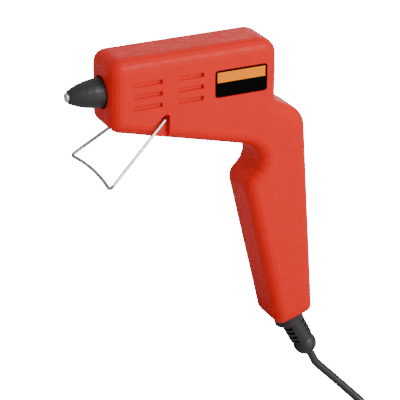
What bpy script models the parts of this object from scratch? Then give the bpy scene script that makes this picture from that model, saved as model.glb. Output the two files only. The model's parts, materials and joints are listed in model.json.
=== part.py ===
"""Thumb-fed hot glue gun standing on its wire stand, with its mains cord and plug.

The gun is drawn in its own frame: the barrel axis runs along X with the nozzle at -X, Z is up and
Y is across, with Y = 0 on the plane where the two casing halves meet. X = 0 is the casing's front
face. The whole gun is then pitched nose-down until the feet of the wire stand and the end of the
bend sleeve rest on the table at Z = 0. The cord, its coil and its plug lie on that table.
"""

import math

import bmesh
import bpy
from mathutils import Matrix, Vector

MM = 0.001

# ---------------------------------------------------------------- driving dimensions (mm)
HALF_WIDTH = 17.0            # casing half width
WALL = 2.2                   # casing wall
EDGE_RADIUS = 7.5            # rounding between the casing's sides and its rim
EDGE_STEPS = 5               # faces across that rounding
PART_GAP = 0.15              # each half stops this far from the parting plane
GAP = 0.3                    # clearance between neighbouring pieces

BARREL_TOP = 23.0
BARREL_REAR = 110.2
BARREL_FRONT_BOTTOM = -21.6

NOZZLE_TIP = -22.6
BOOT_OPENING = 10.2
INLET_OPENING = 8.0

PIVOT = (34.9, -17.8)        # wire stand pivot, X and Z
WIRE_RADIUS = 1.1
ARM_LENGTH = 53.4
ARM_ANGLE = 37.2             # arm below the forward barrel direction, degrees
PIN_END = 9.8                # the wire's bent-in ends, distance from the middle plane
ARM_TOP_Y = 15.7
FOOT_Y = 29.6
FOOT_BOW = 2.4

CORD_RADIUS = 2.8
SLEEVE_TOP = (128.7, -172.3)     # where the bend sleeve's axis leaves the handle
SLEEVE_LEAN = 28.0               # sleeve axis, degrees rearward of straight down
SLEEVE_LENGTH = 37.2
SLEEVE_RADIUS = 7.7
COLLAR_RADIUS = 9.75
COLLAR_LEAN = 16.3
BULB_RADIUS = 7.8
BULB_AT = 30.6

VENT_ROWS = (7.3, 0.0, -7.3)
VENT_GROUPS = ((13.8, 32.5), (42.7, 59.5))
VENT_HEIGHT = 2.8
VENT_DEPTHS = (1.2, 1.8)         # at the front and rear ends of each slot

SCREW_SITES = (
    (20.0, 13.4),
    (14.0, -15.6),
    (84.0, 13.4),
    (84.0, -33.5),
    (116.5, -62.0),
    (121.0, -124.0),
)

CLAMP_SCREWS = (114.0, 127.2)    # X of the two screws that hold the cord clamp

COIL_RING = 29.0             # radius at the middle of the coil's turns
COIL_PITCH = 5.8             # spacing of neighbouring turns
COIL_FLOOR = 1.2             # the turns sit this far up, on the tie
COIL_DISTANCE = 114.0        # coil centre, along the table from the end of the sleeve
COIL_SIDE = -14.0
PLUG_FACE = (52.3, 37.0, 0.0)    # the plug's pin face, from the coil's centre
PLUG_LENGTH = 34.0
PLUG_WIDTH = 25.0
PLUG_HEIGHT = 13.0

# corner X, corner Z and rounding radius of the casing seen from the side
CASING_CORNERS = (
    (0.0, BARREL_TOP, 8.0),
    (BARREL_REAR, BARREL_TOP, 11.0),
    (BARREL_REAR, -18.0, 2.0),
    (130.8, -29.5, 16.0),
    (140.9, -168.4, 6.0),
    (115.0, -176.0, 6.0),
    (90.1, -71.4, 10.0),
    (114.8, -50.7, 12.6),
    (0.0, BARREL_FRONT_BOTTOM, 8.0),
)


# ---------------------------------------------------------------- scene and collections
def clear_scene():
    for old in list(bpy.data.objects):
        bpy.data.objects.remove(old, do_unlink=True)


def new_collection(name):
    collection = bpy.data.collections.new(name)
    bpy.context.scene.collection.children.link(collection)
    return collection


clear_scene()
PARTS = new_collection("glue_gun")
CUTTERS = new_collection("cutters")


def empty(name, parent=None, location=(0.0, 0.0, 0.0)):
    marker = bpy.data.objects.new(name, None)
    marker.empty_display_size = 0.01
    marker.location = Vector(location) * MM
    marker.parent = parent
    PARTS.objects.link(marker)
    return marker


ROOT = empty("table_frame")
GUN = empty("gun_frame", ROOT)


# ---------------------------------------------------------------- materials
def material(name, color, roughness, metallic=0.0):
    made = bpy.data.materials.new(name)
    made.use_nodes = True
    shader = made.node_tree.nodes["Principled BSDF"]
    shader.inputs["Base Color"].default_value = (*color, 1.0)
    shader.inputs["Roughness"].default_value = roughness
    shader.inputs["Metallic"].default_value = metallic
    made.diffuse_color = (*color, 1.0)
    return made


RED_PLASTIC = material("red_plastic", (0.68, 0.060, 0.040), 0.45)
BLACK_RUBBER = material("black_rubber", (0.030, 0.030, 0.032), 0.55)
BLACK_CORD = material("black_cord", (0.025, 0.025, 0.027), 0.50)
BLACK_PLASTIC = material("black_plastic", (0.020, 0.020, 0.021), 0.40)
LABEL_FOIL = material("label_foil", (0.015, 0.015, 0.016), 0.25)
ALUMINIUM = material("aluminium", (0.72, 0.72, 0.74), 0.35, 1.0)
BRASS = material("brass", (0.78, 0.60, 0.30), 0.30, 1.0)
STEEL = material("steel", (0.62, 0.62, 0.64), 0.28, 1.0)
ZINC_WIRE = material("zinc_wire", (0.74, 0.74, 0.76), 0.22, 1.0)
CERAMIC = material("ceramic", (0.36, 0.34, 0.33), 0.70)
MICA = material("mica", (0.70, 0.62, 0.45), 0.50)
PHENOLIC = material("phenolic", (0.26, 0.15, 0.08), 0.50)
SILICONE = material("silicone", (0.72, 0.72, 0.70), 0.50)
BLUE_WIRE = material("blue_wire", (0.04, 0.12, 0.50), 0.40)
BROWN_WIRE = material("brown_wire", (0.17, 0.06, 0.025), 0.40)


# ---------------------------------------------------------------- making pieces
def finish_mesh(bm, name, collection=None, finish=None, parent=None, smooth=True):
    """Turn a bmesh drawn in millimetres into an object in metres."""
    bmesh.ops.scale(bm, vec=(MM, MM, MM), verts=bm.verts)
    bmesh.ops.recalc_face_normals(bm, faces=bm.faces)
    mesh = bpy.data.meshes.new(name)
    bm.to_mesh(mesh)
    bm.free()
    return add_object(mesh, name, collection, finish, parent, smooth)


def add_object(mesh, name, collection=None, finish=None, parent=None, smooth=True):
    if smooth:
        mesh.shade_smooth()
        mesh.set_sharp_from_angle(angle=math.radians(32.0))
    piece = bpy.data.objects.new(name, mesh)
    (collection or PARTS).objects.link(piece)
    piece.parent = parent or GUN
    if finish:
        mesh.materials.append(finish)
    if collection is CUTTERS:
        piece.hide_render = True
        piece.display_type = "WIRE"
    return piece


def rounded_outline(corners, steps=6):
    """Points of a closed outline whose corners are replaced by arcs."""
    points = []
    count = len(corners)
    for index, (x, z, radius) in enumerate(corners):
        here = Vector((x, z))
        before = Vector(corners[index - 1][:2]) - here
        after = Vector(corners[(index + 1) % count][:2]) - here
        before.normalize()
        after.normalize()
        opening = before.angle(after)
        if radius <= 0.0:
            points.append(here)
            continue
        reach = radius / math.tan(opening / 2)
        centre = here + (before + after).normalized() * (radius / math.sin(opening / 2))
        first = here + before * reach - centre
        last = here + after * reach - centre
        turn = math.atan2(first.x * last.y - first.y * last.x, first.dot(last))
        for step in range(steps + 1):
            angle = turn * step / steps
            cosine, sine = math.cos(angle), math.sin(angle)
            arm = Vector((first.x * cosine - first.y * sine, first.x * sine + first.y * cosine))
            points.append(centre + arm)
    return points


def prism(bm, points, push):
    """A closed solid: a flat outline of points pushed straight along a vector."""
    floor = bm.faces.new([bm.verts.new(point) for point in points])
    grown = bmesh.ops.extrude_face_region(bm, geom=[floor])
    moved = [item for item in grown["geom"] if isinstance(item, bmesh.types.BMVert)]
    bmesh.ops.translate(bm, vec=push, verts=moved)


def slab(bm, outline, low, high):
    """A flat piece with its outline in the X-Z plane, from Y = low to Y = high."""
    prism(bm, [(x, low, z) for x, z in outline], (0.0, high - low, 0.0))


def block(bm, low, high):
    """A box between two corners."""
    size = [b - a for a, b in zip(low, high)]
    centre = [(a + b) / 2 for a, b in zip(low, high)]
    place = Matrix.Translation(centre) @ Matrix.Diagonal((*size, 1.0))
    bmesh.ops.create_cube(bm, size=1.0, matrix=place)


def rod(bm, start, end, radius, sides=24, end_radius=None):
    """A closed cylinder or cone between two points."""
    start, end = Vector(start), Vector(end)
    axis = end - start
    place = Matrix.Translation((start + end) / 2) @ axis.to_track_quat("Z", "Y").to_matrix().to_4x4()
    bmesh.ops.create_cone(
        bm,
        cap_ends=True,
        segments=sides,
        radius1=radius,
        radius2=radius if end_radius is None else end_radius,
        depth=axis.length,
        matrix=place,
    )


def turned(name, profile, place, finish=None, sides=32, collection=None, parent=None):
    """A piece turned about the local Z axis from a closed profile of (radius, Z) points in mm.

    The profile is put in the order that runs down its outer side, so the faces point outwards.
    """
    mesh = bpy.data.meshes.new(name)
    loop = list(zip(profile, (*profile[1:], profile[0])))
    if sum(a[0] * b[1] - b[0] * a[1] for a, b in loop) > 0.0:
        profile = tuple(reversed(profile))
    points = [(radius * MM, 0.0, z * MM) for radius, z in profile]
    edges = [(i, (i + 1) % len(points)) for i in range(len(points))]
    mesh.from_pydata(points, edges, [])
    piece = add_object(mesh, name, collection, finish, parent, smooth=False)
    piece.matrix_basis = place
    screw = piece.modifiers.new("turn", "SCREW")
    screw.axis = "Z"
    screw.angle = math.tau
    screw.steps = sides
    screw.render_steps = sides
    screw.use_merge_vertices = True
    screw.merge_threshold = 0.00001
    screw.use_smooth_shade = True
    return piece


def along_barrel(x=0.0):
    """Placement that lays a turned piece's axis along the barrel, Z profile values becoming X."""
    return Matrix.Translation((x * MM, 0.0, 0.0)) @ Matrix.Rotation(math.pi / 2, 4, "Y")


def along(point, direction):
    """Placement that puts a turned piece's axis on a point, pointing along a direction."""
    turn = Vector(direction).to_track_quat("Z", "Y").to_matrix().to_4x4()
    return Matrix.Translation(Vector(point) * MM) @ turn


def tube(name, points, radius, finish, parent=None, sides=2):
    """A round wire, lead or cord through a list of points in mm."""
    curve = bpy.data.curves.new(name, "CURVE")
    curve.dimensions = "3D"
    curve.bevel_depth = radius * MM
    curve.bevel_resolution = sides
    curve.use_fill_caps = True
    spline = curve.splines.new("POLY")
    spline.points.add(len(points) - 1)
    for knot, point in zip(spline.points, points):
        knot.co = (*(Vector(point) * MM), 1.0)
    curve.materials.append(finish)
    piece = bpy.data.objects.new(name, curve)
    PARTS.objects.link(piece)
    piece.parent = parent or GUN
    return piece


def combine(piece, tool, operation):
    step = piece.modifiers.new(tool.name, "BOOLEAN")
    step.operation = operation
    step.solver = "EXACT"
    step.object = tool
    return step


def round_edges(piece, width, segments=2, angle=40.0):
    bevel = piece.modifiers.new("round_edges", "BEVEL")
    bevel.width = width * MM
    bevel.segments = segments
    bevel.limit_method = "ANGLE"
    bevel.angle_limit = math.radians(angle)
    return bevel


def smooth_path(knots, spacing):
    """Evenly spaced points on a smooth curve through the knots."""
    knots = [Vector(k) for k in knots]
    padded = [knots[0] * 2 - knots[1], *knots, knots[-1] * 2 - knots[-2]]
    fine = []
    for a, b, c, d in zip(padded, padded[1:], padded[2:], padded[3:]):
        for step in range(24):
            t = step / 24
            point = 2 * b + (c - a) * t
            point += (2 * a - 5 * b + 4 * c - d) * t * t
            point += (3 * b - a - 3 * c + d) * t ** 3
            fine.append(point / 2)
    fine.append(knots[-1])
    return even_points(fine, spacing)


def even_points(fine, spacing):
    """Points a constant distance apart along a dense polyline, ends kept."""
    travelled = [0.0]
    for a, b in zip(fine, fine[1:]):
        travelled.append(travelled[-1] + (b - a).length)
    count = max(2, round(travelled[-1] / spacing))
    points = []
    index = 0
    for step in range(count + 1):
        target = travelled[-1] * step / count
        while index < len(fine) - 2 and travelled[index + 1] < target:
            index += 1
        length = travelled[index + 1] - travelled[index]
        share = 0.0 if length == 0.0 else (target - travelled[index]) / length
        points.append(fine[index].lerp(fine[index + 1], min(1.0, share)))
    return points


# ---------------------------------------------------------------- casing halves
def inset_outline(distance):
    """The casing's outline moved inwards: outer corners get tighter, inner corners wider."""
    corners = []
    count = len(CASING_CORNERS)
    for index, (x, z, radius) in enumerate(CASING_CORNERS):
        here = Vector((x, z))
        before = (Vector(CASING_CORNERS[index - 1][:2]) - here).normalized()
        after = (Vector(CASING_CORNERS[(index + 1) % count][:2]) - here).normalized()
        way = 1.0 if before.x * after.y - before.y * after.x > 0.0 else -1.0
        reach = distance / math.sin(before.angle(after) / 2)
        moved = here + (before + after).normalized() * reach * way
        corners.append((moved.x, moved.y, max(0.5, radius - distance * way)))
    return rounded_outline(corners)


def edge_rings(margin, near, far):
    """Depth and inset of the rings that run from the mouth, round the edge, to the flat side."""
    radius = EDGE_RADIUS - margin
    rings = [(near, margin), (HALF_WIDTH - EDGE_RADIUS, margin)]
    for step in range(1, EDGE_STEPS + 1):
        angle = math.radians(90.0) * step / EDGE_STEPS
        inset = margin + radius * (1.0 - math.cos(angle))
        rings.append((far - radius * (1.0 - math.sin(angle)), inset))
    return rings


def loft(bm, side, rings):
    """Bands of faces through the casing's outline at each depth and inset."""
    loops = [[bm.verts.new((p.x, side * y, p.y)) for p in inset_outline(d)] for y, d in rings]
    for one, two in zip(loops, loops[1:]):
        for index in range(len(one)):
            other = (index + 1) % len(one)
            bm.faces.new((one[index], one[other], two[other], two[index]))
    return loops


def casing_skin(name, side):
    """Half of the hollow casing, its mouth on the parting plane."""
    bm = bmesh.new()
    outer = loft(bm, side, edge_rings(0.0, PART_GAP, HALF_WIDTH))
    inner = loft(bm, side, edge_rings(WALL, PART_GAP, HALF_WIDTH - WALL))
    bm.faces.new(outer[-1])
    bm.faces.new(inner[-1])
    for index in range(len(outer[0])):
        other = (index + 1) % len(outer[0])
        bm.faces.new((outer[0][index], outer[0][other], inner[0][other], inner[0][index]))
    return finish_mesh(bm, name, finish=RED_PLASTIC)


def casing_limit(side):
    """The space inside the skin's outer face, which ribs, pads and posts are trimmed to."""
    bm = bmesh.new()
    loops = loft(bm, side, edge_rings(0.8, -1.0, HALF_WIDTH - 0.8))
    bm.faces.new(loops[0])
    bm.faces.new(loops[-1])
    return finish_mesh(bm, f"casing_limit_{'left' if side < 0 else 'right'}", CUTTERS)


def inner_ribs(side):
    """Cross walls that carry the melting chamber and the stick inlet, and the stand's side pads."""
    bm = bmesh.new()
    inner, outer = side * PART_GAP, side * (HALF_WIDTH - 1.8)
    low, high = min(inner, outer), max(inner, outer)
    for x, bottom in ((11.0, -23.4), (74.0, -10.6), (97.0, -14.0)):
        block(bm, (x, low, bottom), (x + 2.0, high, BARREL_TOP - 1.1))
    pad_in, pad_out = side * (HALF_WIDTH - 5.5), side * (HALF_WIDTH - 1.2)
    pad = ((24.3, -18.6), (33.9, -10.6), (39.5, -10.6), (39.5, -30.4), (24.3, -26.4))
    slab(bm, pad, min(pad_in, pad_out), max(pad_in, pad_out))
    return finish_mesh(bm, f"ribs_{'left' if side < 0 else 'right'}", CUTTERS)


def rib_bores(side):
    """Round cradles through the cross walls."""
    bm = bmesh.new()
    for x, radius in ((12.0, 8.0), (75.0, 7.6), (98.0, 7.8)):
        rod(bm, (x - 1.6, 0.0, 0.0), (x + 1.6, 0.0, 0.0), radius, 32)
    return finish_mesh(bm, f"cradle_bores_{'left' if side < 0 else 'right'}", CUTTERS)


def screw_posts(side):
    bm = bmesh.new()
    radius = 3.4 if side < 0 else 4.7
    for x, z in SCREW_SITES:
        rod(bm, (x, side * PART_GAP, z), (x, side * (HALF_WIDTH - 1.1), z), radius, 20)
    if side < 0:
        block(bm, (111.6, -(HALF_WIDTH - 1.2), -150.0), (135.0, -CORD_RADIUS - GAP, -144.0))
    return finish_mesh(bm, f"screw_posts_{'left' if side < 0 else 'right'}", CUTTERS)


def screw_holes(side):
    bm = bmesh.new()
    for x, z in SCREW_SITES:
        if side < 0:
            rod(bm, (x, 1.0, z), (x, -11.0, z), 1.65, 16)
        else:
            rod(bm, (x, 7.0, z), (x, HALF_WIDTH + 2.0, z), 3.3, 20)
            rod(bm, (x, -1.0, z), (x, 6.9, z), 1.75, 16)
    if side < 0:
        for x in CLAMP_SCREWS:
            rod(bm, (x, 0.0, -147.0), (x, -11.5, -147.0), 1.3, 12)
    return finish_mesh(bm, f"screw_holes_{'left' if side < 0 else 'right'}", CUTTERS)


def screw_throats():
    """Joins each counterbore of the right half to its clearance hole."""
    bm = bmesh.new()
    for x, z in SCREW_SITES:
        rod(bm, (x, 5.0, z), (x, 8.0, z), 1.75, 16)
    return finish_mesh(bm, "screw_throats", CUTTERS)


def casing_openings():
    """Nozzle opening, stick inlet and cord opening, cut through both halves."""
    bm = bmesh.new()
    rod(bm, (-3.0, 0.0, 0.0), (WALL + 1.0, 0.0, 0.0), BOOT_OPENING, 40)
    rod(bm, (BARREL_REAR - WALL - 1.0, 0.0, 0.0), (BARREL_REAR + 3.0, 0.0, 0.0), INLET_OPENING, 32)
    top = Vector((SLEEVE_TOP[0], 0.0, SLEEVE_TOP[1]))
    down = lean_direction(COLLAR_LEAN)
    rod(bm, top - down * 5.0, top + down * 5.0, 7.6, 32)
    return finish_mesh(bm, "casing_openings", CUTTERS)


def vent_pockets(side):
    """Blind slots whose floors slope down towards the rear."""
    bm = bmesh.new()
    for start, end in VENT_GROUPS:
        for row in VENT_ROWS:
            shallow, deep = (HALF_WIDTH - depth for depth in VENT_DEPTHS)
            section = ((start, shallow), (start, HALF_WIDTH + 1), (end, HALF_WIDTH + 1), (end, deep))
            low = row - VENT_HEIGHT / 2
            prism(bm, [(x, side * y, low) for x, y in section], (0.0, 0.0, VENT_HEIGHT))
    return finish_mesh(bm, f"vent_pockets_{'left' if side < 0 else 'right'}", CUTTERS)


def stand_recess(side):
    """Fan-shaped pocket that lets the stand's arm swing, open at the barrel's lower edge."""
    corners = (
        (26.5, -20.6, 1.0),
        (34.3, -14.1, 2.2),
        (37.2, -14.1, 1.6),
        (37.2, -40.0, 0.0),
        (26.5, -40.0, 0.0),
    )
    outline = [(p.x, p.y) for p in rounded_outline(corners, 4)]
    bm = bmesh.new()
    near, far = side * (HALF_WIDTH - 3.3), side * (HALF_WIDTH + 3.0)
    slab(bm, outline, min(near, far), max(near, far))
    return finish_mesh(bm, f"stand_recess_{'left' if side < 0 else 'right'}", CUTTERS)


def pivot_hole(side):
    bm = bmesh.new()
    x, z = PIVOT
    rod(bm, (x, side * 10.0, z), (x, side * 16.0, z), WIRE_RADIUS + 0.35, 20)
    return finish_mesh(bm, f"pivot_hole_{'left' if side < 0 else 'right'}", CUTTERS)


def label_bed():
    bm = bmesh.new()
    outline = [(p.x, p.y) for p in rounded_outline(label_corners(0.3), 4)]
    slab(bm, outline, -HALF_WIDTH - 1.0, -HALF_WIDTH + 0.45)
    return finish_mesh(bm, "label_bed", CUTTERS)


def label_corners(margin):
    left, right, top, bottom = 67.4 - margin, 101.8 + margin, 8.0 + margin, -8.8 - margin
    radius = 1.6 + margin
    return ((left, top, radius), (right, top, radius), (right, bottom, radius), (left, bottom, radius))


def lean_direction(degrees):
    angle = math.radians(degrees)
    return Vector((math.sin(angle), 0.0, -math.cos(angle)))


def make_casing():
    openings = casing_openings()
    for side, name in ((-1.0, "casing_left"), (1.0, "casing_right")):
        half = casing_skin(name, side)
        limit = casing_limit(side)
        for inside in (inner_ribs(side), screw_posts(side)):
            combine(inside, limit, "INTERSECT")
            combine(half, inside, "UNION")
        combine(half, rib_bores(side), "DIFFERENCE")
        combine(half, openings, "DIFFERENCE")
        combine(half, screw_holes(side), "DIFFERENCE")
        combine(half, vent_pockets(side), "DIFFERENCE")
        combine(half, stand_recess(side), "DIFFERENCE")
        combine(half, pivot_hole(side), "DIFFERENCE")
        if side > 0:
            combine(half, screw_throats(), "DIFFERENCE")
        else:
            combine(half, label_bed(), "DIFFERENCE")


# ---------------------------------------------------------------- nozzle, valve and boot
def make_nozzle():
    turned(
        "nozzle",
        (
            (1.5, NOZZLE_TIP), (2.6, NOZZLE_TIP), (2.9, NOZZLE_TIP + 0.3), (2.9, -20.0), (5.6, -10.0),
            (5.6, -1.0), (6.5, -1.0), (6.5, 3.9), (5.0, 3.9), (5.0, 9.0), (3.4, 9.0), (3.4, -12.3),
            (2.1, -12.3), (2.1, -19.4), (1.2, -19.4), (1.2, NOZZLE_TIP + 0.7),
        ),
        along_barrel(),
        ALUMINIUM,
        24,
    )
    seat = ((3.1, -12.0), (3.1, -9.6), (1.6, -9.6), (1.0, -10.4), (1.0, -12.0))
    turned("valve_seat", seat, along_barrel(), BRASS, 16)
    ball = bmesh.new()
    bmesh.ops.create_uvsphere(ball, u_segments=12, v_segments=8, radius=1.6)
    guide = empty("ball_axis", GUN, (-13.55, 0.0, 0.0))
    finish_mesh(ball, "nozzle_ball", finish=STEEL, parent=guide)
    spring = []
    turns, first, last = 3.5, -19.0, -14.95
    count = int(turns * 9)
    for step in range(count + 1):
        share = step / count
        angle = math.tau * turns * share
        spring.append((first + (last - first) * share, 1.35 * math.cos(angle), 1.35 * math.sin(angle)))
    tube("nozzle_spring", spring, 0.2, STEEL, sides=1)
    turned(
        "nozzle_boot",
        (
            (3.6, -21.0), (4.1, -20.7), (5.5, -17.9), (6.85, -14.5), (7.95, -10.5), (8.75, -6.2),
            (9.2, -2.2), (9.35, 2.4), (11.6, 2.7), (11.6, 4.0), (6.9, 4.0), (6.9, -1.4), (5.95, -1.4),
            (5.95, -10.1), (3.25, -20.1), (3.25, -20.9),
        ),
        along_barrel(),
        BLACK_RUBBER,
        32,
    )


# ---------------------------------------------------------------- melting chamber and heater
def make_chamber():
    profile = (
        (5.3, 4.3), (7.6, 4.3), (7.6, 56.0), (6.5, 56.0), (6.5, 60.5), (5.9, 60.5), (5.9, 40.0),
        (3.6, 14.0), (3.6, 9.6), (5.3, 9.6),
    )
    chamber = turned("melt_chamber", profile, along_barrel(), ALUMINIUM, 24)
    saddle = bmesh.new()
    block(saddle, (22.0, -8.0, -9.8), (50.0, 8.0, -6.4))
    combine(chamber, finish_mesh(saddle, "heater_saddle", CUTTERS), "UNION")
    turned("front_collar", ((7.95, 4.9), (12.0, 4.9), (12.0, 8.6), (7.95, 8.6)), along_barrel(), PHENOLIC, 24)
    turned("rear_ring", ((7.95, 51.5), (9.8, 51.5), (9.8, 55.0), (7.95, 55.0)), along_barrel(), PHENOLIC, 24)


def plate(name, low, high, finish, tab=None):
    bm = bmesh.new()
    if tab is None:
        block(bm, low, high)
    else:
        outline = (
            (low[0], low[1]), (high[0], low[1]), (high[0], tab - 1.0), (high[0] + 10.5, tab - 1.0),
            (high[0] + 10.5, tab + 1.0), (high[0], tab + 1.0), (high[0], high[1]), (low[0], high[1]),
        )
        prism(bm, [(x, y, low[2]) for x, y in outline], (0.0, 0.0, high[2] - low[2]))
    return finish_mesh(bm, name, finish=finish, smooth=False)


def make_heater():
    plate("electrode_upper", (24.0, -7.0, -10.6), (48.0, 7.0, -10.1), BRASS, tab=-3.5)
    plate("ptc_element", (25.0, -6.5, -12.9), (47.0, 6.5, -10.9), CERAMIC)
    plate("electrode_lower", (24.0, -7.0, -13.7), (48.0, 7.0, -13.2), BRASS, tab=3.5)
    plate("heater_insulation", (23.0, -7.6, -14.6), (49.0, 7.6, -14.0), MICA)
    section = (
        (-9.2, -15.7), (9.2, -15.7), (9.2, 4.8), (6.9, 4.8), (6.9, 4.0), (8.4, 4.0), (8.4, -14.9),
        (-8.4, -14.9), (-8.4, 4.0), (-6.9, 4.0), (-6.9, 4.8), (-9.2, 4.8),
    )
    bm = bmesh.new()
    prism(bm, [(28.0, y, z) for y, z in section], (16.0, 0.0, 0.0))
    finish_mesh(bm, "heater_clip", finish=STEEL, smooth=False)
    tube_profile = ((6.8, 56.4), (7.3, 56.4), (7.3, 84.0), (6.0, 84.0), (6.0, 60.9), (6.8, 60.9))
    turned("feed_sleeve", tube_profile, along_barrel(), SILICONE, 24)
    turned("sleeve_clamp", ((7.6, 57.2), (8.4, 57.2), (8.4, 60.0), (7.6, 60.0)), along_barrel(), STEEL, 24)
    turned(
        "inlet_guide",
        (
            (6.0, 84.5), (7.4, 84.5), (7.4, BARREL_REAR + 0.4), (9.8, BARREL_REAR + 0.4),
            (9.8, BARREL_REAR + 0.9), (9.4, BARREL_REAR + 1.3), (7.2, BARREL_REAR + 1.3),
            (6.0, BARREL_REAR - 0.5),
        ),
        along_barrel(),
        BLACK_PLASTIC,
        28,
    )


# ---------------------------------------------------------------- wire stand
def stand_points():
    """The stand's wire path, measured from its pivot axis."""
    angle = math.radians(ARM_ANGLE)
    arm = Vector((-math.cos(angle), 0.0, -math.sin(angle)))
    half = [Vector((0.0, -PIN_END, 0.0)), Vector((0.0, -13.9, 0.0))]
    elbow = Vector((0.0, -ARM_TOP_Y, 0.0))
    foot = arm * ARM_LENGTH + Vector((0.0, -FOOT_Y, 0.0))
    half += bend(half[-1], elbow, foot, 1.7, 4)
    beside = arm * (ARM_LENGTH - 0.9) + Vector((0.0, -FOOT_Y + 6.0, 0.0))
    half += bend(elbow, foot, beside, 2.4, 5)
    for share in (0.30, 0.55, 0.8):
        y = -(FOOT_Y - 2.0) * (1.0 - share)
        bow = FOOT_BOW * (1.0 - (y / FOOT_Y) ** 2)
        half.append(arm * (ARM_LENGTH - bow) + Vector((0.0, y, 0.0)))
    middle = arm * (ARM_LENGTH - FOOT_BOW)
    other = [Vector((p.x, -p.y, p.z)) for p in reversed(half)]
    return half + [middle] + other


def bend(before, corner, after, radius, steps):
    """Points of a rounded corner between two straight runs."""
    one = (before - corner).normalized()
    two = (after - corner).normalized()
    opening = one.angle(two)
    reach = radius / math.tan(opening / 2)
    reach = min(reach, 0.9 * (before - corner).length)
    start, end = corner + one * reach, corner + two * reach
    points = []
    for step in range(steps + 1):
        t = step / steps
        points.append(start * (1 - t) ** 2 + corner * 2 * t * (1 - t) + end * t ** 2)
    return points


def make_stand():
    axle = empty("stand_axis", GUN, (PIVOT[0], 0.0, PIVOT[1]))
    return tube("wire_stand", stand_points(), WIRE_RADIUS, ZINC_WIRE, axle)


# ---------------------------------------------------------------- screws, clamp and leads
def screw(name, x, z, head_at, tip_at, head_radius, shank_radius, head_height, parent=None):
    """A screw driven along -Y, its head at +Y."""
    bm = bmesh.new()
    rod(bm, (0.0, 0.0, head_at - tip_at), (0.0, 0.0, 0.0), shank_radius, 12, shank_radius)
    shank = finish_mesh(bm, name, finish=STEEL, parent=parent)
    shank.matrix_basis = along((x, tip_at, z), (0.0, 1.0, 0.0))
    head = bmesh.new()
    base = head_at - tip_at
    rod(head, (0.0, 0.0, base - 0.2), (0.0, 0.0, base + head_height), head_radius, 20)
    cap = finish_mesh(head, f"{name}_head", CUTTERS)
    cap.matrix_basis = shank.matrix_basis
    slot = bmesh.new()
    top = head_at - tip_at + head_height
    block(slot, (-head_radius - 1, -0.4, top - 0.8), (head_radius + 1, 0.4, top + 1))
    groove = finish_mesh(slot, f"{name}_slot", CUTTERS)
    groove.matrix_basis = shank.matrix_basis
    combine(shank, cap, "UNION")
    combine(shank, groove, "DIFFERENCE")
    return shank


def make_screws():
    for number, (x, z) in enumerate(SCREW_SITES, 1):
        screw(f"casing_screw_{number}", x, z, 7.4, -9.5, 2.9, 1.3, 2.2)
    bm = bmesh.new()
    block(bm, (111.5, CORD_RADIUS + GAP, -150.0), (134.2, 5.2, -144.0))
    clamp = finish_mesh(bm, "cord_clamp", finish=BLACK_PLASTIC)
    holes = bmesh.new()
    for x in CLAMP_SCREWS:
        rod(holes, (x, 0.0, -147.0), (x, 8.0, -147.0), 1.35, 12)
    combine(clamp, finish_mesh(holes, "clamp_holes", CUTTERS), "DIFFERENCE")
    for number, x in enumerate(CLAMP_SCREWS, 1):
        screw(f"clamp_screw_{number}", x, -147.0, 5.5, -10.0, 2.1, 1.0, 1.7)


def make_leads():
    straight = sleeve_point(-7.5)
    bent = smooth_path(
        [straight, (121.6, 0.0, -154.5), (120.6, 0.0, -147.0), (120.4, 0.0, -140.0)],
        4.5,
    )
    tube("cord_inside", [sleeve_point(SLEEVE_LENGTH), *bent], CORD_RADIUS, BLACK_CORD, sides=2)
    leads = (("lead_live", -3.5, -10.35, BROWN_WIRE), ("lead_neutral", 3.5, -13.45, BLUE_WIRE))
    for name, y, z, finish in leads:
        start_y = math.copysign(1.25, y)
        path = smooth_path(
            [(120.3, start_y, -139.4), (118.0, start_y * 1.2, -134.5), (111.6, y, -124.0), (108.0, y, -100.0),
             (107.0, y, -78.0), (107.0, y, -58.0), (102.5, y, -38.0), (88.0, y, -23.5),
             (72.0, y, z - 2.6), (64.5, y, z)],
            6.5,
        )
        tube(name, [*path, (60.0, y, z)], 0.95, finish, sides=1)
    for name, y, z in (("terminal_live", -3.5, -10.35), ("terminal_neutral", 3.5, -13.45)):
        place = Matrix.Translation((0.0, y * MM, z * MM)) @ along_barrel()
        turned(name, ((1.3, 55.5), (1.75, 55.5), (1.75, 64.0), (1.3, 64.0)), place, BLACK_PLASTIC, 16)


# ---------------------------------------------------------------- bend sleeve and label
def sleeve_point(distance):
    start = Vector((SLEEVE_TOP[0], 0.0, SLEEVE_TOP[1]))
    return start + lean_direction(SLEEVE_LEAN) * distance


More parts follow.
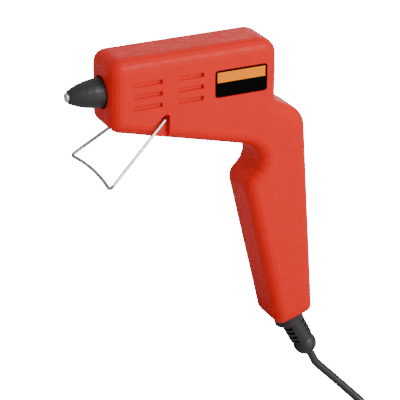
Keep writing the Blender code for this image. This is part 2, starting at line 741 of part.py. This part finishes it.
def make_sleeve():
    bore = CORD_RADIUS + GAP
    bulb = []
    for step in range(7):
        angle = math.radians(-38.0 + 76.0 * step / 6)
        bulb.append((BULB_RADIUS * math.cos(angle), BULB_AT + BULB_RADIUS * math.sin(angle)))
    neck = SLEEVE_RADIUS - 0.5
    profile = [(bore, -6.5), (5.6, -6.5), (SLEEVE_RADIUS, 2.0), (SLEEVE_RADIUS, 23.6), (neck, 25.0)]
    profile += bulb + [(4.2, SLEEVE_LENGTH), (bore, SLEEVE_LENGTH)]
    place = along((SLEEVE_TOP[0], 0.0, SLEEVE_TOP[1]), lean_direction(SLEEVE_LEAN))
    sleeve = turned("bend_sleeve", profile, place, BLACK_RUBBER, 28)
    collar_place = along((SLEEVE_TOP[0], 0.0, SLEEVE_TOP[1]), lean_direction(COLLAR_LEAN))
    ring = (
        (4.6, -3.2), (4.6, -6.4), (9.6, -6.4), (9.6, -3.2), (7.2, -2.9), (7.2, 0.7),
        (COLLAR_RADIUS, 0.9), (COLLAR_RADIUS, 7.4), (COLLAR_RADIUS - 0.9, 8.2), (4.6, 8.2),
    )
    collar = turned("sleeve_collar", ring, collar_place, collection=CUTTERS, sides=28)
    combine(sleeve, collar, "UNION")
    slots = bmesh.new()
    for row in range(4):
        s = 9.6 + 3.9 * row
        for side in (-1.0, 1.0):
            outer, inner = side * 12.0, side * 4.0
            block(slots, (min(outer, inner), -6.5, s), (max(outer, inner), 6.5, s + 2.2))
    cut = finish_mesh(slots, "sleeve_slots", CUTTERS)
    cut.matrix_basis = along_sleeve()
    combine(sleeve, cut, "DIFFERENCE")
    return sleeve


def along_sleeve():
    """Placement with Z down the sleeve's axis and Y across the gun."""
    down = lean_direction(SLEEVE_LEAN)
    across = Vector((0.0, 1.0, 0.0))
    rearward = across.cross(down)
    turn = Matrix((rearward, across, down)).transposed().to_4x4()
    return Matrix.Translation(Vector((SLEEVE_TOP[0], 0.0, SLEEVE_TOP[1])) * MM) @ turn


def make_label():
    bm = bmesh.new()
    outline = [(p.x, p.y) for p in rounded_outline(label_corners(0.0), 4)]
    slab(bm, outline, -HALF_WIDTH - 0.1, -HALF_WIDTH + 0.2)
    finish_mesh(bm, "label", finish=LABEL_FOIL)


# ---------------------------------------------------------------- standing on the table
def resting_pitch():
    """Nose-down pitch at which the stand's feet and the sleeve's bulb touch the same plane."""
    pivot = Vector((PIVOT[0], 0.0, PIVOT[1]))
    wire = [pivot + p for p in stand_points()]
    bulb = sleeve_point(BULB_AT)
    low, high = math.radians(30.0), math.radians(60.0)
    for _ in range(50):
        pitch = (low + high) / 2
        up = Vector((math.sin(pitch), 0.0, math.cos(pitch)))
        foot_height = min(up.dot(p) for p in wire) - WIRE_RADIUS
        if foot_height < up.dot(bulb) - BULB_RADIUS:
            high = pitch
        else:
            low = pitch
    return pitch, foot_height


def to_table(point, pitch):
    """A gun-frame point in the table's frame, before the gun is lifted and centred."""
    x, y, z = point
    sine, cosine = math.sin(pitch), math.cos(pitch)
    return Vector((x * cosine - z * sine, y, x * sine + z * cosine))


# ---------------------------------------------------------------- cord, coil and plug
def coil_slots():
    """Turn centres in the coil's cross-section: radius and height, in winding order."""
    rows = []
    rise = COIL_PITCH * 0.88
    base = COIL_FLOOR + CORD_RADIUS
    rows += [(COIL_RING + COIL_PITCH, base), (COIL_RING, base), (COIL_RING - COIL_PITCH, base)]
    rows += [(COIL_RING - COIL_PITCH / 2, base + rise), (COIL_RING + COIL_PITCH / 2, base + rise)]
    rows += [(COIL_RING, base + 2 * rise)]
    return rows


def make_cord(pitch, lift):
    start = to_table(sleeve_point(SLEEVE_LENGTH + GAP), pitch) + Vector((0.0, 0.0, lift))
    heading = to_table(lean_direction(SLEEVE_LEAN), pitch)
    centre = Vector((start.x + COIL_DISTANCE, COIL_SIDE, 0.0))
    outer = COIL_RING + COIL_PITCH
    join = centre + Vector((-outer * 0.52, -outer * 0.854, 0.0))
    entry = join + Vector((-0.854, 0.52, 0.0)) * 22.0
    entry.z = COIL_FLOOR + CORD_RADIUS
    knots = [
        start,
        start + heading * 3.0,
        Vector((start.x + 10.5, -0.2, CORD_RADIUS + 0.15)),
        Vector((start.x + 26.0, -2.0, CORD_RADIUS + 0.1)),
        Vector((start.x + 44.0, -7.5, CORD_RADIUS + 0.1)),
        Vector((start.x + 62.0, -16.5, CORD_RADIUS + 0.1)),
        entry,
    ]
    return knots, centre


def coil_section():
    """Half width and top of the wound turns' cross-section."""
    return COIL_PITCH + CORD_RADIUS, coil_slots()[-1][1] + CORD_RADIUS


def ring_profile():
    """The coil's outer shape: a turned ring with a stepped, rounded section."""
    half, top = coil_section()
    waist = COIL_PITCH * 0.5 + CORD_RADIUS
    return (
        (COIL_RING - half + 0.8, COIL_FLOOR), (COIL_RING + half - 0.8, COIL_FLOOR),
        (COIL_RING + half, COIL_FLOOR + 0.8), (COIL_RING + half, COIL_FLOOR + 4.2),
        (COIL_RING + waist, top - 4.4), (COIL_RING + 2.2, top), (COIL_RING - 2.2, top),
        (COIL_RING - waist, top - 4.4), (COIL_RING - half, COIL_FLOOR + 4.2),
        (COIL_RING - half, COIL_FLOOR + 0.8),
    )


def tie_outline(margin, foot, waist, corner):
    """One loop of the tie's cross-section, a set distance outside the coil."""
    half, top = coil_section()
    wide, high = half + margin, top + margin
    shoulder = 3.6 + margin * 0.6
    knots = (
        (-wide, foot, corner), (wide, foot, corner), (wide, COIL_FLOOR + waist, corner + 0.5),
        (shoulder, high, corner + 0.5), (-shoulder, high, corner + 0.5),
        (-wide, COIL_FLOOR + waist, corner + 0.5),
    )
    return rounded_outline(knots, 3)


def make_coil(centre):
    turned("cord_coil", ring_profile(), Matrix.Translation(centre * MM), BLACK_CORD, 28, parent=ROOT)
    middle = centre + Vector((0.0, COIL_RING, 0.0))
    band = bmesh.new()
    prism(band, [(-2.0, p.x, p.y) for p in tie_outline(1.2, 0.0, 6.0, 1.7)], (4.0, 0.0, 0.0))
    tie = finish_mesh(band, "coil_tie", finish=BLACK_PLASTIC, parent=ROOT)
    hole = bmesh.new()
    inside = tie_outline(GAP, COIL_FLOOR - GAP, 5.6, 1.0)
    prism(hole, [(-4.0, p.x, p.y) for p in inside], (8.0, 0.0, 0.0))
    eye = finish_mesh(hole, "tie_hole", CUTTERS, parent=ROOT)
    tie.location = middle * MM
    eye.location = middle * MM
    combine(tie, eye, "DIFFERENCE")


def plug_outline():
    half = PLUG_WIDTH / 2
    corners = (
        (0.0, half, 3.0), (13.0, half, 6.0), (PLUG_LENGTH - 7.0, 6.2, 8.0), (PLUG_LENGTH, 5.0, 1.5),
        (PLUG_LENGTH, -5.0, 1.5), (PLUG_LENGTH - 7.0, -6.2, 8.0), (13.0, -half, 6.0), (0.0, -half, 3.0),
    )
    return rounded_outline(corners, 4)


def make_plug(centre):
    """Flat two-pin plug lying on the table beside the coil, its pins along +Y."""
    base = empty("plug_frame", ROOT, centre + Vector(PLUG_FACE))
    base.rotation_euler = (0.0, 0.0, math.radians(90.0))
    bm = bmesh.new()
    prism(bm, [(-p.x, p.y, 0.0) for p in plug_outline()], (0.0, 0.0, PLUG_HEIGHT))
    body = finish_mesh(bm, "plug_body", finish=BLACK_PLASTIC, parent=base)
    round_edges(body, 2.4, 3)
    holes = bmesh.new()
    middle = PLUG_HEIGHT / 2
    for y in (-9.3, 9.3):
        rod(holes, (-4.0, y, middle), (3.0, y, middle), 2.3, 16)
    cord_end = -PLUG_LENGTH + 5.0
    rod(holes, (-PLUG_LENGTH - 2.0, 0.0, middle), (cord_end, 0.0, middle), CORD_RADIUS + GAP, 20)
    combine(body, finish_mesh(holes, "plug_holes", CUTTERS, parent=base), "DIFFERENCE")
    for number, y in enumerate((-9.3, 9.3), 1):
        pin = bmesh.new()
        rod(pin, (-3.6, y, middle), (17.0, y, middle), 2.0, 16)
        rod_end = [v for v in pin.verts if v.co.x > 16.9]
        bmesh.ops.bevel(pin, geom=[e for e in pin.edges if all(v in rod_end for v in e.verts)],
                        offset=0.8, segments=2, profile=0.5, affect="EDGES")
        finish_mesh(pin, f"plug_pin_{number}", finish=BRASS, parent=base)


def make_tail(centre):
    """The last stretch of cord, from beside the coil into the plug."""
    face = centre + Vector(PLUG_FACE)
    middle = PLUG_HEIGHT / 2
    knots = [
        centre + Vector((35.3, -21.0, 7.2)),
        centre + Vector((44.3, -15.4, 4.4)),
        Vector((face.x - 1.6, centre.y - 6.0, 4.8)),
        Vector((face.x, face.y - PLUG_LENGTH - 3.0, middle)),
    ]
    return [*smooth_path(knots, 5.5), Vector((face.x, face.y - PLUG_LENGTH + 4.6, middle))]


def build():
    make_casing()
    make_nozzle()
    make_chamber()
    make_heater()
    make_stand()
    make_screws()
    make_leads()
    make_sleeve()
    make_label()

    pitch, foot_height = resting_pitch()
    lift = -foot_height
    GUN.rotation_euler = (0.0, -pitch, 0.0)
    GUN.location = (0.0, 0.0, lift * MM)

    knots, centre = make_cord(pitch, lift)
    tube("cord_run", smooth_path(knots, 9.0), CORD_RADIUS, BLACK_CORD, ROOT, sides=2)
    make_coil(centre)
    make_plug(centre)
    tube("cord_tail", make_tail(centre), CORD_RADIUS, BLACK_CORD, ROOT, sides=2)
    centre_gun(pitch)


def centre_gun(pitch):
    """Bring the middle of the gun, from nozzle tip to sleeve, over the origin."""
    tip = to_table((NOZZLE_TIP + 0.3, 0.0, 2.9), pitch)
    end = to_table(sleeve_point(SLEEVE_LENGTH), pitch)
    heading = to_table(lean_direction(SLEEVE_LEAN), pitch)
    rear = end.x - heading.z * 4.2
    ROOT.location.x = -(tip.x + rear) / 2 * MM


build()
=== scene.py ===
"""Looks of the thumb-fed glue gun: camera, light, cord, materials and small moulded details.

The gun has its own frame in millimetres: X along the barrel from its front face, Z up, and Y across,
with Y = 0 on the casing's parting plane. It stands nose-down on its wire stand and bend sleeve.
"""

import json
import math

import bmesh
import bpy
from mathutils import Matrix, Vector


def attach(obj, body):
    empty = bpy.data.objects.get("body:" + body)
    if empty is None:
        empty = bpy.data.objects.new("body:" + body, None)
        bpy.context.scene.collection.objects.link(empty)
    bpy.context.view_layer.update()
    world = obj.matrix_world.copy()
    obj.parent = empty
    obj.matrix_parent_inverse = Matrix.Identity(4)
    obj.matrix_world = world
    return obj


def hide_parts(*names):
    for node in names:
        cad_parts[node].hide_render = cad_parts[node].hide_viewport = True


MM = 0.001

# ---------------------------------------------------------------- named values (mm, degrees)
PITCH = math.radians(46.660444)      # nose-down angle of the gun on the table
GUN_LIFT = 40.5445
GUN_SHIFT = -116.6074

LOOK_AT = (65.962, 0.534, -82.318)   # gun frame
CAMERA_DISTANCE = 1240.0
CAMERA_AZIMUTH = -34.85
CAMERA_ELEVATION = -0.75
CAMERA_UP = (0.1732, 0.3678, 0.9136)     # gun frame
CAMERA_LENS = 180.0

SLEEVE_TOP = (128.7, -172.3)
SLEEVE_LEAN = 28.0
SLEEVE_LENGTH = 37.5
CORD_RADIUS = 2.8
COIL_DISTANCE = 114.0
COIL_SIDE = -14.0
COIL_TURNS = (                       # radius, height, and the winding angle where the turn ends
    (34.8, 4.0, 290.0),
    (29.0, 4.0, 650.0),
    (23.2, 4.0, 945.0),
    (26.1, 9.1, 1240.0),
    (31.9, 9.1, 1535.0),
    (29.0, 14.2, 1846.3),
)
COIL_START = -121.3                  # direction of the cord's first point on the coil
COIL_SHIFT = 55.0                    # winding angle used to move from one turn to the next
PLUG_FACE = (52.3, 37.0)
PLUG_MOUTH = 34.0
PLUG_MIDDLE = 6.5

BOOT_OPENING = 10.6                  # radii that the parting lip keeps clear of
INLET_OPENING = 8.4
SLEEVE_OPENING = 10.4
LIP_INSET = 0.05                     # parting lip: below the casing's outline, half width, inner edge
LIP_HALF_WIDTH = 0.13
LIP_INNER = 1.7
LIP_STEP = 1.6

SEEN_WHITE = 25.0                    # strength that the camera sees as plain white
SKY_LIGHT = 0.62                     # strength that falls on the object
GRAIN_DEPTH = 0.00012                # metres
SHARP_ANGLE = 34.0
CASING_CORNERS = (                   # corner X, corner Z and rounding radius, seen from the side
    (0.0, 23.0, 8.0),
    (110.2, 23.0, 11.0),
    (110.2, -18.0, 2.0),
    (130.8, -29.5, 16.0),
    (140.9, -168.4, 6.0),
    (115.0, -176.0, 6.0),
    (90.1, -71.4, 10.0),
    (114.8, -50.7, 12.6),
    (0.0, -21.6, 8.0),
)
LABEL_BAND = (68.6, 100.6, 0.4, 6.9)    # X range and Z range of the printed band


# ---------------------------------------------------------------- frames
def turned(point):
    """A direction of the gun frame, in the shared frame."""
    x, y, z = point
    sine, cosine = math.sin(PITCH), math.cos(PITCH)
    return Vector((x * cosine - z * sine, y, x * sine + z * cosine))


def placed(point):
    """A point of the gun frame, in the shared frame, both in mm."""
    return turned(point) + Vector((GUN_SHIFT, 0.0, GUN_LIFT))


def gun_matrix():
    """Gun frame in mm to the shared frame in metres."""
    turn = Matrix((turned((1, 0, 0)), (0, 1, 0), turned((0, 0, 1)))).transposed().to_4x4()
    move = Matrix.Translation((GUN_SHIFT * MM, 0.0, GUN_LIFT * MM))
    return move @ turn @ Matrix.Scale(MM, 4)


# ---------------------------------------------------------------- camera and light
def make_camera():
    azimuth, elevation = math.radians(CAMERA_AZIMUTH), math.radians(CAMERA_ELEVATION)
    back = Vector((
        math.sin(azimuth) * math.cos(elevation),
        -math.cos(azimuth) * math.cos(elevation),
        math.sin(elevation),
    ))
    up = turned(CAMERA_UP)
    up = (up - back * up.dot(back)).normalized()
    camera = bpy.data.objects.new("camera", bpy.data.cameras.new("camera"))
    bpy.context.scene.collection.objects.link(camera)
    camera.data.lens = CAMERA_LENS
    camera.data.clip_start = 0.05
    camera.data.clip_end = 60.0
    turn = Matrix((up.cross(back), up, back)).transposed().to_4x4()
    target = placed(LOOK_AT) * MM
    camera.matrix_world = Matrix.Translation(target + back * CAMERA_DISTANCE * MM) @ turn
    bpy.context.scene.camera = camera


def area_light(name, location, size, power):
    light = bpy.data.objects.new(name, bpy.data.lights.new(name, "AREA"))
    light.data.size = size
    light.data.energy = power
    light.location = location
    aim = placed((60.0, 0.0, -40.0)) * MM - Vector(location)
    light.rotation_euler = aim.to_track_quat("-Z", "Y").to_euler()
    bpy.context.scene.collection.objects.link(light)


def camera_only(nodes, links, seen, lit):
    """A strength that is one value straight from the camera and another for light falling on things."""
    path = nodes.new("ShaderNodeLightPath")
    mix = nodes.new("ShaderNodeMapRange")
    mix.inputs["To Min"].default_value = lit
    mix.inputs["To Max"].default_value = seen
    links.new(path.outputs["Is Camera Ray"], mix.inputs["Value"])
    return mix.outputs["Result"]


def make_studio():
    world = bpy.data.worlds.new("studio")
    world.use_nodes = True
    bpy.context.scene.world = world
    sky = world.node_tree.nodes["Background"]
    sky.inputs["Color"].default_value = (1.0, 1.0, 1.0, 1.0)
    tree = world.node_tree
    strength = camera_only(tree.nodes, tree.links, SEEN_WHITE, SKY_LIGHT)
    tree.links.new(strength, sky.inputs["Strength"])

    mesh = bpy.data.meshes.new("floor")
    bm = bmesh.new()
    bmesh.ops.create_grid(bm, x_segments=1, y_segments=1, size=20.0)
    bm.to_mesh(mesh)
    bm.free()
    floor = bpy.data.objects.new("floor", mesh)
    bpy.context.scene.collection.objects.link(floor)
    pale = bpy.data.materials.new("pale_floor")
    pale.use_nodes = True
    nodes, links = pale.node_tree.nodes, pale.node_tree.links
    shader = nodes["Principled BSDF"]
    shader.inputs["Base Color"].default_value = (0.55, 0.55, 0.55, 1.0)
    shader.inputs["Roughness"].default_value = 1.0
    shader.inputs["Specular IOR Level"].default_value = 0.0
    shader.inputs["Emission Color"].default_value = (1.0, 1.0, 1.0, 1.0)
    links.new(camera_only(nodes, links, SEEN_WHITE, 0.0), shader.inputs["Emission Strength"])
    mesh.materials.append(pale)

    area_light("key", (-0.30, -1.05, 1.0), 0.7, 15.0)
    area_light("fill", (0.5, -1.2, 0.5), 1.0, 6.0)
    area_light("rim", (0.3, 1.0, 0.9), 0.8, 2.5)


# ---------------------------------------------------------------- cord
def bezier_knots(knots, spacing):
    """Evenly spaced points on a smooth curve through the knots, the last knot left out."""
    padded = [knots[0] * 2 - knots[1], *knots, knots[-1] * 2 - knots[-2]]
    points = []
    for a, b, c, d in zip(padded, padded[1:], padded[2:], padded[3:]):
        count = max(1, round((c - b).length / spacing))
        for step in range(count):
            t = step / count
            point = 2 * b + (c - a) * t
            point += (2 * a - 5 * b + 4 * c - d) * t * t
            point += (3 * b - a - 3 * c + d) * t ** 3
            points.append(point / 2)
    return points


def sleeve_end():
    lean = math.radians(SLEEVE_LEAN)
    down = Vector((math.sin(lean), 0.0, -math.cos(lean)))
    start = Vector((SLEEVE_TOP[0], 0.0, SLEEVE_TOP[1]))
    return placed(start + down * SLEEVE_LENGTH), turned(down)


def coil_point(centre, winding):
    """Where the cord lies at a winding angle: in its own turn, or easing up into the next one."""
    for number, (radius, height, end) in enumerate(COIL_TURNS):
        if winding <= end or number == len(COIL_TURNS) - 1:
            break
        following = COIL_TURNS[number + 1]
        if winding < end + COIL_SHIFT:
            t = (winding - end) / COIL_SHIFT
            ease = t * t * (3 - 2 * t)
            hump = 1.3 * math.sin(math.pi * t) if number >= 2 else 0.0
            radius += (following[0] - radius) * ease
            height += (following[1] - height) * ease + hump
            break
    angle = math.radians(COIL_START + winding)
    return centre + Vector((radius * math.cos(angle), radius * math.sin(angle), height))


def cord_route():
    start, heading = sleeve_end()
    centre = Vector((start.x + COIL_DISTANCE, COIL_SIDE, 0.0))
    join = coil_point(centre, 0.0)
    tangent = Vector((0.854, -0.52, 0.0))
    knots = [
        start,
        start + heading * 3.0,
        Vector((start.x + 10.5, -0.2, CORD_RADIUS + 0.15)),
        Vector((start.x + 26.0, -2.0, CORD_RADIUS + 0.1)),
        Vector((start.x + 44.0, -7.5, CORD_RADIUS + 0.1)),
        Vector((start.x + 62.0, -16.5, CORD_RADIUS + 0.1)),
        join - tangent * 22.0,
        join,
    ]
    route = bezier_knots(knots, 6.0)
    last = COIL_TURNS[-1][2]
    steps = math.ceil(last / 12.0)
    route += [coil_point(centre, last * step / steps) for step in range(steps + 1)]
    face = centre + Vector((*PLUG_FACE, 0.0))
    leave = route[-1]
    side = Vector((0.966, 0.259, 0.0))
    tail = [
        leave,
        leave + side * 9.0 + Vector((0.0, 0.0, 0.5)),
        leave + side * 18.0 + Vector((0.0, 0.0, -1.8)),
        centre + Vector((35.3, -21.0, 7.2)),
        centre + Vector((44.3, -15.4, 4.4)),
        Vector((face.x - 1.6, centre.y - 6.0, 4.8)),
        Vector((face.x, face.y - PLUG_MOUTH - 3.0, PLUG_MIDDLE)),
        Vector((face.x, face.y - PLUG_MOUTH + 4.4, PLUG_MIDDLE)),
    ]
    return route[:-1] + bezier_knots(tail, 4.5) + [tail[-1]]


def make_cord(finish):
    route = cord_route()
    curve = bpy.data.curves.new("mains_cord", "CURVE")
    curve.dimensions = "3D"
    curve.bevel_depth = CORD_RADIUS * MM
    curve.bevel_resolution = 4
    curve.use_fill_caps = True
    spline = curve.splines.new("POLY")
    spline.points.add(len(route) - 1)
    for knot, point in zip(spline.points, route):
        knot.co = (*(point * MM), 1.0)
    spline.use_smooth = True
    curve.materials.append(finish)
    cord = bpy.data.objects.new("mains_cord", curve)
    bpy.context.scene.collection.objects.link(cord)
    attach(cord, "gun")
    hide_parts("cord_run", "cord_coil", "cord_tail")


# ---------------------------------------------------------------- materials
def noise(tree, scale, detail=4.0, stretch=None):
    """A noise texture over the piece's own coordinates, its scale in cells per metre."""
    nodes, links = tree.nodes, tree.links
    where = nodes.new("ShaderNodeTexCoord").outputs["Object"]
    if stretch:
        mapping = nodes.new("ShaderNodeMapping")
        mapping.inputs["Scale"].default_value = stretch
        links.new(where, mapping.inputs["Vector"])
        where = mapping.outputs["Vector"]
    texture = nodes.new("ShaderNodeTexNoise")
    texture.inputs["Scale"].default_value = scale
    texture.inputs["Detail"].default_value = detail
    links.new(where, texture.inputs["Vector"])
    return texture.outputs["Fac"]


def ranged(tree, value, low, high, start=0.3, end=0.7):
    node = tree.nodes.new("ShaderNodeMapRange")
    node.inputs["From Min"].default_value = start
    node.inputs["From Max"].default_value = end
    node.inputs["To Min"].default_value = low
    node.inputs["To Max"].default_value = high
    tree.links.new(value, node.inputs["Value"])
    return node.outputs["Result"]


def mixed(tree, share, first, second):
    """Colour between two colours, or between a colour socket and a colour."""
    node = tree.nodes.new("ShaderNodeMix")
    node.data_type = "RGBA"
    tree.links.new(share, node.inputs["Factor"])
    for socket, colour in (("A", first), ("B", second)):
        target = [s for s in node.inputs if s.name == socket and s.type == "RGBA"][0]
        if isinstance(colour, tuple):
            target.default_value = (*colour, 1.0)
        else:
            tree.links.new(colour, target)
    return [s for s in node.outputs if s.type == "RGBA"][0]


def surface(
    name,
    colour,
    roughness,
    metallic=0.0,
    mottle=0.08,
    mottle_scale=90.0,
    grain=0.10,
    grain_scale=1400.0,
    spread=0.08,
    scuff=None,
    specular=0.5,
    stretch=None,
):
    """A finish with colour variation, surface grain, uneven gloss and light wear."""
    made = bpy.data.materials.new(name)
    made.use_nodes = True
    tree = made.node_tree
    shader = tree.nodes["Principled BSDF"]
    shader.inputs["Metallic"].default_value = metallic
    shader.inputs["Specular IOR Level"].default_value = specular
    dark = tuple(c * (1.0 - mottle) for c in colour)
    pale = tuple(min(1.0, c * (1.0 + mottle)) for c in colour)
    tone = mixed(tree, ranged(tree, noise(tree, mottle_scale), 0.0, 1.0), dark, pale)
    if scuff:
        worn = ranged(tree, noise(tree, 260.0, 8.0, (1.0, 1.0, 0.3)), 0.0, 0.5, 0.66, 0.80)
        tone = mixed(tree, worn, tone, scuff)
    tree.links.new(tone, shader.inputs["Base Color"])
    fine = noise(tree, grain_scale, 3.0, stretch)
    gloss = ranged(tree, noise(tree, mottle_scale * 2.3, 5.0), roughness - spread, roughness + spread)
    tree.links.new(gloss, shader.inputs["Roughness"])
    bump = tree.nodes.new("ShaderNodeBump")
    bump.inputs["Strength"].default_value = grain
    bump.inputs["Distance"].default_value = GRAIN_DEPTH
    tree.links.new(fine, bump.inputs["Height"])
    tree.links.new(bump.outputs["Normal"], shader.inputs["Normal"])
    return made


def axis_value(tree, direction, offset):
    """A gun-frame coordinate in mm, worked out from the piece's own coordinates."""
    nodes, links = tree.nodes, tree.links
    where = nodes.new("ShaderNodeTexCoord").outputs["Object"]
    dot = nodes.new("ShaderNodeVectorMath")
    dot.operation = "DOT_PRODUCT"
    dot.inputs[1].default_value = direction / MM
    links.new(where, dot.inputs[0])
    shift = nodes.new("ShaderNodeMath")
    shift.operation = "SUBTRACT"
    shift.inputs[1].default_value = offset
    links.new(dot.outputs["Value"], shift.inputs[0])
    return shift.outputs["Value"]


def inside_range(tree, value, low, high):
    """1 between two values and 0 outside them, with a narrow soft edge."""
    middle = tree.nodes.new("ShaderNodeMath")
    middle.operation = "SUBTRACT"
    middle.inputs[1].default_value = (low + high) / 2
    tree.links.new(value, middle.inputs[0])
    away = tree.nodes.new("ShaderNodeMath")
    away.operation = "ABSOLUTE"
    tree.links.new(middle.outputs["Value"], away.inputs[0])
    half = (high - low) / 2
    return ranged(tree, away.outputs["Value"], 1.0, 0.0, half - 0.08, half + 0.08)


def label_surface():
    """Black film with a plain orange band across its upper part."""
    made = surface("label_print", (0.001, 0.001, 0.001), 0.42, grain=0.03, spread=0.05, specular=0.02)
    tree = made.node_tree
    shader = tree.nodes["Principled BSDF"]
    ahead, up = turned((1, 0, 0)), turned((0, 0, 1))
    origin = Vector((GUN_SHIFT, 0.0, GUN_LIFT))
    x0, x1, z0, z1 = LABEL_BAND
    across = inside_range(tree, axis_value(tree, ahead, ahead.dot(origin)), x0, x1)
    along = inside_range(tree, axis_value(tree, up, up.dot(origin)), z0, z1)
    both = tree.nodes.new("ShaderNodeMath")
    both.operation = "MULTIPLY"
    tree.links.new(across, both.inputs[0])
    tree.links.new(along, both.inputs[1])
    film = shader.inputs["Base Color"].links[0].from_socket
    share = ranged(tree, noise(tree, 300.0), 0.0, 1.0)
    ink = mixed(tree, share, (0.96, 0.23, 0.0), (1.0, 0.26, 0.001))
    tree.links.new(mixed(tree, both.outputs["Value"], film, ink), shader.inputs["Base Color"])
    return made


def make_finishes():
    return {
        "red_plastic": surface("moulded_red", (0.73, 0.008, 0.003), 0.46, mottle=0.03,
                               scuff=(0.75, 0.018, 0.010), grain=0.10, specular=0.17),
        "black_rubber": surface("boot_rubber", (0.016, 0.016, 0.017), 0.42, mottle=0.18, grain=0.12,
                                scuff=(0.032, 0.031, 0.030)),
        "black_cord": surface("cord_sheath", (0.022, 0.022, 0.024), 0.46, mottle=0.15, grain=0.12),
        "black_plastic": surface("moulded_black", (0.018, 0.018, 0.019), 0.40, mottle=0.15),
        "label_foil": label_surface(),
        "aluminium": surface("cast_aluminium", (0.62, 0.62, 0.64), 0.38, 1.0, grain=0.16),
        "brass": surface("bright_brass", (0.74, 0.56, 0.27), 0.30, 1.0, grain=0.06),
        "steel": surface("plated_steel", (0.60, 0.60, 0.62), 0.30, 1.0, grain=0.08),
        "zinc_wire": surface("plated_wire", (0.42, 0.42, 0.43), 0.20, 1.0, mottle=0.12, grain=0.10),
        "ceramic": surface("fired_ceramic", (0.34, 0.32, 0.31), 0.70, mottle=0.2, grain=0.2),
        "mica": surface("mica_sheet", (0.66, 0.58, 0.42), 0.45, mottle=0.25, stretch=(1.0, 4.0, 1.0)),
        "phenolic": surface("phenolic_moulding", (0.24, 0.14, 0.07), 0.50, mottle=0.2),
        "silicone": surface("silicone_tube", (0.68, 0.68, 0.66), 0.50, mottle=0.05),
        "blue_wire": surface("blue_insulation", (0.04, 0.11, 0.46), 0.40),
        "brown_wire": surface("brown_insulation", (0.16, 0.055, 0.022), 0.40),
    }


def paint_nodes(frame, finishes):
    slots = {row["node"]: row["material_slot"] for row in frame["record"]["subparts"]}
    for name, piece in frame["nodes"].items():
        piece.data.materials.clear()
        piece.data.materials.append(finishes[slots[name]])


# ---------------------------------------------------------------- moulded details
def rounded_outline(corners, steps=8):
    """Points of a closed outline whose corners are replaced by arcs."""
    points = []
    for index, (x, z, radius) in enumerate(corners):
        here = Vector((x, z))
        before = (Vector(corners[index - 1][:2]) - here).normalized()
        after = (Vector(corners[(index + 1) % len(corners)][:2]) - here).normalized()
        opening = before.angle(after)
        centre = here + (before + after).normalized() * (radius / math.sin(opening / 2))
        first = here + before * (radius / math.tan(opening / 2)) - centre
        last = here + after * (radius / math.tan(opening / 2)) - centre
        turn = math.atan2(first.x * last.y - first.y * last.x, first.dot(last))
        for step in range(steps + 1):
            points.append(centre + Matrix.Rotation(turn * step / steps, 2) @ first)
    return points


def even_loop(points, spacing):
    """Points about a spacing apart along a closed outline."""
    spread = []
    for a, b in zip(points, (*points[1:], points[0])):
        count = max(1, round((b - a).length / spacing))
        spread += [a.lerp(b, step / count) for step in range(count)]
    return spread


def clear_of_openings(point):
    top = Vector(SLEEVE_TOP)
    at_nozzle = point.x < 3.0 and abs(point.y) < BOOT_OPENING
    at_inlet = point.x > 107.0 and abs(point.y) < INLET_OPENING
    at_sleeve = (point - top).length < SLEEVE_OPENING
    return not (at_nozzle or at_inlet or at_sleeve)


def make_seam(finish):
    """The thin moulded lip that closes the parting line between the casing halves."""
    loop = even_loop(rounded_outline(CASING_CORNERS), LIP_STEP)
    count = len(loop)
    bm = bmesh.new()
    rings = []
    for index, point in enumerate(loop):
        run = (loop[(index + 1) % count] - loop[index - 1]).normalized()
        inward = Vector((run.y, -run.x))
        outer, inner = point + inward * LIP_INSET, point + inward * LIP_INNER
        half = LIP_HALF_WIDTH
        corners = ((outer, -half), (outer, half), (inner, half), (inner, -half))
        rings.append([bm.verts.new((p.x, y, p.y)) for p, y in corners])
    kept = [clear_of_openings(point) for point in loop]
    for index in range(count):
        following = (index + 1) % count
        if not (kept[index] and kept[following]):
            continue
        one, two = rings[index], rings[following]
        for side in range(4):
            other = (side + 1) % 4
            bm.faces.new((one[side], one[other], two[other], two[side]))
        if not kept[index - 1]:
            bm.faces.new(one)
        if not kept[(index + 2) % count]:
            bm.faces.new(two)
    loose = [v for v in bm.verts if not v.link_faces]
    bmesh.ops.delete(bm, geom=loose, context="VERTS")
    bmesh.ops.recalc_face_normals(bm, faces=bm.faces)
    bm.transform(gun_matrix())
    mesh = bpy.data.meshes.new("seam_lip")
    bm.to_mesh(mesh)
    bm.free()
    mesh.materials.append(finish)
    seam = bpy.data.objects.new("seam_lip", mesh)
    bpy.context.scene.collection.objects.link(seam)
    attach(seam, "gun")


def smooth_nodes(frame):
    for piece in frame["nodes"].values():
        piece.data.shade_smooth()
        piece.data.set_sharp_from_angle(angle=math.radians(SHARP_ANGLE))


with open("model.json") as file:
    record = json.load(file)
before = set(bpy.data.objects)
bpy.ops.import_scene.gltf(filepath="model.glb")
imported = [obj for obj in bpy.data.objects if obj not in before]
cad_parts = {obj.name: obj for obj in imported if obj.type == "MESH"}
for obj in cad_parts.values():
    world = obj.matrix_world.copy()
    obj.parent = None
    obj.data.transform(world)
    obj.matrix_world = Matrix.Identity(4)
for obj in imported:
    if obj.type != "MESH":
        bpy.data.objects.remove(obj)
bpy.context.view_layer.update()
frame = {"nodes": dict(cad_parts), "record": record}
make_camera()
finishes = make_finishes()
make_cord(finishes["black_cord"])
make_studio()
paint_nodes(frame, finishes)
smooth_nodes(frame)
# The lip is painted a paler, more orange red than the casing: a painted highlight along the parting
# line.
make_seam(surface("seam_painted_highlight", (0.86, 0.06, 0.04), 0.42))
